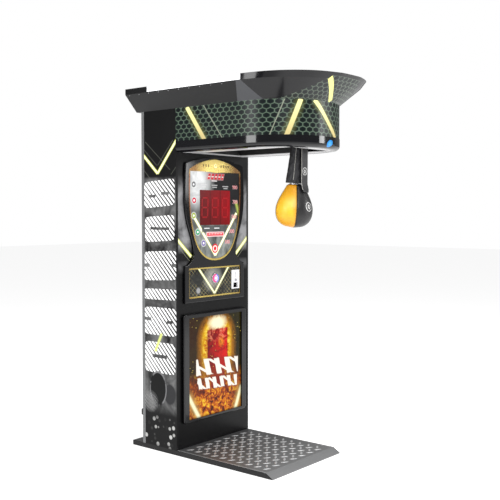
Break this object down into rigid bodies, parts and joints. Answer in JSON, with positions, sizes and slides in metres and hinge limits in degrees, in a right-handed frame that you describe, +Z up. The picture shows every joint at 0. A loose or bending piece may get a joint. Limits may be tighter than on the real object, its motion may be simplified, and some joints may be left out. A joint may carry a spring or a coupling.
{
  "type": "boxing punch machine",
  "caption": "Free-standing punch ball machine: tall cabinet on a treadplate base, overhanging head with a swinging padded ball, flared canopy.",
  "frame": {"origin": "on the floor under the middle of the whole machine", "axes": "+X to the player's right, +Y into the machine, away from the player, +Z up"},
  "size_m": [0.898, 1.46, 2.303],
  "materials": {
    "black_steel": "satin black powder coat",
    "frame_steel": "black painted tube",
    "rubber": "matt",
    "tread_aluminium": "tread plate, worn satin",
    "black_board": "black laminated board",
    "printed_side": "printed film, satin",
    "printed_front": "printed film, satin",
    "grey_trim": "satin anodised",
    "lock_metal": "polished",
    "black_plastic": "fine texture",
    "screw_steel": "zinc plated",
    "inner_metal": "zinc plated",
    "circuit_board": "solder mask",
    "gloss_black": "high gloss",
    "printed_shield": "printed and lit from behind",
    "gold_trim": "polished gold",
    "red_display": "dark red filter",
    "printed_coin": "printed",
    "white_plate": "satin white",
    "button_metal": "polished",
    "start_lens": "lit lens",
    "lit_poster": "back-lit print",
    "backlight": "opal diffuser",
    "printed_skirt": "printed film, gloss",
    "grey_underside": "satin light grey",
    "dark_liner": "satin black",
    "cast_bearing": "as cast",
    "bright_steel": "turned",
    "black_leather": "fine grain",
    "ball_leather": "yellow and black gores",
    "satin_black": "satin",
    "grey_gusset": "brushed satin grey",
    "opal_strip": "opal light strip"
  },
  "bodies": {
    "machine": {"back_panel": "black_board", "base_cheeks": "black_steel", "base_cross_tubes": "frame_steel", "base_pads": "rubber", "button_bezel": "button_metal", "cabinet_boards": "black_board", "canopy_gussets": "grey_gusset", "carrier_bars": "frame_steel", "cash_box": "frame_steel", "coin_mech": "black_plastic", "coin_panel": "printed_coin", "coin_plate": "white_plate", "control_board": "circuit_board", "deck_plates": "tread_aluminium", "digit_display": "red_display", "display_bezel": "gloss_black", "door_hinge_fixed": "black_steel", "fascia_rear": "satin_black", "frame_posts": "frame_steel", "frame_rails": "frame_steel", "front_panel": "printed_front", "gold_trims": "gold_trim", "head_deck": "black_steel", "head_lip": "gloss_black", "head_rails": "frame_steel", "head_skirt": "printed_skirt", "latch_solenoid": "inner_metal", "light_strips": "opal_strip", "mains_inlet": "black_plastic", "panel_screws": "screw_steel", "pivot_bearings": "cast_bearing", "poster_backlight": "backlight", "poster_frame": "gloss_black", "poster_panel": "lit_poster", "power_supply": "inner_metal", "rear_corner_trims": "grey_trim", "recess_liner": "dark_liner", "roof_panel": "black_steel", "shield_panel": "printed_shield", "side_fascias": "satin_black", "side_panels": "printed_side", "speaker": "black_plastic", "speed_sensor": "black_plastic", "stop_pads": "rubber", "underside_ring": "grey_underside", "visor": "gloss_black"},
    "arm": {"pivot_shaft": "bright_steel", "sensor_disc": "inner_metal", "arm_hub": "frame_steel", "arm_tube": "bright_steel", "arm_sleeve": "black_leather", "arm_strap": "black_leather", "punch_ball": "ball_leather"},
    "rear_door": {"rear_door": "black_board", "door_hinge_moving": "black_steel", "lock_body": "lock_metal"},
    "lock_cam": {"lock_cam": "lock_metal"},
    "latch_plunger": {"latch_plunger": "bright_steel"},
    "start_button": {"start_button": "start_lens"},
    "reject_button": {"reject_button": "button_metal"}
  },
  "joints": [
    {"name": "arm_swing", "type": "hinge", "parent": "machine", "child": "arm", "pos_m": [0, -0.359, 2.035], "axis": [1, 0, 0], "range_deg": [0, 84]},
    {"name": "rear_door_hinge", "type": "hinge", "parent": "machine", "child": "rear_door", "pos_m": [0.249, 0.6415, 0.3], "axis": [0, 0, -1], "range_deg": [0, 110]},
    {"name": "lock_turn", "type": "hinge", "parent": "rear_door", "child": "lock_cam", "pos_m": [-0.196, 0.627, 0.311], "axis": [0, 1, 0], "range_deg": [0, 90]},
    {"name": "latch_slide", "type": "slide", "parent": "machine", "child": "latch_plunger", "axis": [1, 0, 0], "range_m": [0, 0.022], "stiffness_N_per_m": 120},
    {"name": "start_press", "type": "slide", "parent": "machine", "child": "start_button", "axis": [0, 1, 0], "range_m": [0, 0.005], "stiffness_N_per_m": 300},
    {"name": "reject_press", "type": "slide", "parent": "machine", "child": "reject_button", "axis": [0, 1, 0], "range_m": [0, 0.004], "stiffness_N_per_m": 300}
  ]
}
